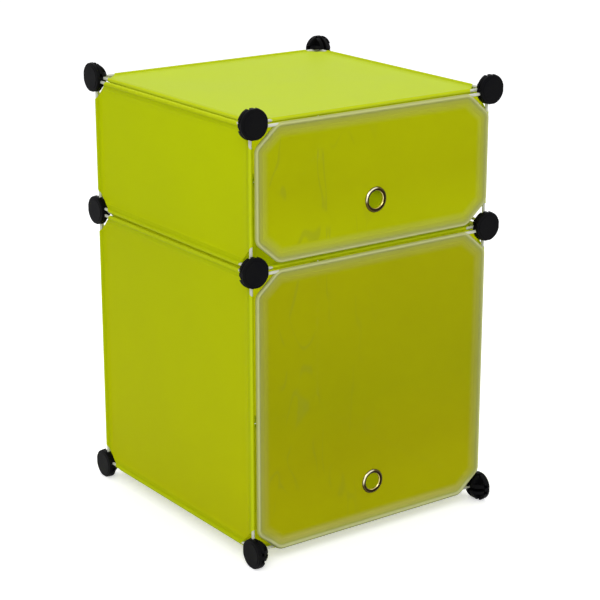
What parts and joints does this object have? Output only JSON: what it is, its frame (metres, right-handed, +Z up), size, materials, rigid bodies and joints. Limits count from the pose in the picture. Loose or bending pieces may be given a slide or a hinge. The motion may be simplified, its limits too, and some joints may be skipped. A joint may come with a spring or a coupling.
{
  "type": "interlocking storage cube",
  "caption": "Stacked storage cells of hemmed plastic sheet on wire frames, held by round corner connectors, with frosted doors that flip up on their top rods.",
  "frame": {"origin": "floor level under the middle of the cube, at the centre of the bounding box's base", "axes": "+X to the right seen from the front, +Y to the back, +Z up; the doors face -Y"},
  "size_m": [0.408, 0.408, 0.59],
  "materials": {
    "green_sheet": "lime polypropylene sheet, satin, welded hem",
    "frosted_sheet": "frosted translucent polypropylene sheet with a milky hem",
    "connector_plastic": "black moulded plastic, fine grain",
    "frame_wire": "pale grey coated steel wire",
    "door_wire": "pale grey coated steel wire",
    "eyelet_metal": "polished rolled eyelet"
  },
  "bodies": {
    "root": {"connector_bottom_front_left": "connector_plastic", "connector_bottom_front_right": "connector_plastic", "connector_bottom_back_left": "connector_plastic", "connector_bottom_back_right": "connector_plastic", "connector_middle_front_left": "connector_plastic", "connector_middle_front_right": "connector_plastic", "connector_middle_back_left": "connector_plastic", "connector_middle_back_right": "connector_plastic", "connector_top_front_left": "connector_plastic", "connector_top_front_right": "connector_plastic", "connector_top_back_left": "connector_plastic", "connector_top_back_right": "connector_plastic", "floor_panel_frame": "frame_wire", "floor_panel_sheet": "green_sheet", "shelf_panel_frame": "frame_wire", "shelf_panel_sheet": "green_sheet", "top_panel_frame": "frame_wire", "top_panel_sheet": "green_sheet", "lower_left_panel_frame": "frame_wire", "lower_left_panel_sheet": "green_sheet", "lower_right_panel_frame": "frame_wire", "lower_right_panel_sheet": "green_sheet", "lower_back_panel_frame": "frame_wire", "lower_back_panel_sheet": "green_sheet", "upper_left_panel_frame": "frame_wire", "upper_left_panel_sheet": "green_sheet", "upper_right_panel_frame": "frame_wire", "upper_right_panel_sheet": "green_sheet", "upper_back_panel_frame": "frame_wire", "upper_back_panel_sheet": "green_sheet"},
    "upper_door": {"upper_door_frame": "door_wire", "upper_door_sheet": "frosted_sheet", "upper_door_eyelet": "eyelet_metal", "upper_door_eyelet_washer": "eyelet_metal"},
    "lower_door": {"lower_door_frame": "door_wire", "lower_door_sheet": "frosted_sheet", "lower_door_eyelet": "eyelet_metal", "lower_door_eyelet_washer": "eyelet_metal"}
  },
  "joints": [
    {"name": "upper_door_hinge", "type": "hinge", "parent": "root", "child": "upper_door", "pos_m": [0, -0.1865, 0.5665], "axis": [-1, 0, 0], "range_deg": [0, 145]},
    {"name": "lower_door_hinge", "type": "hinge", "parent": "root", "child": "lower_door", "pos_m": [0, -0.1865, 0.3845], "axis": [-1, 0, 0], "range_deg": [0, 145]}
  ]
}
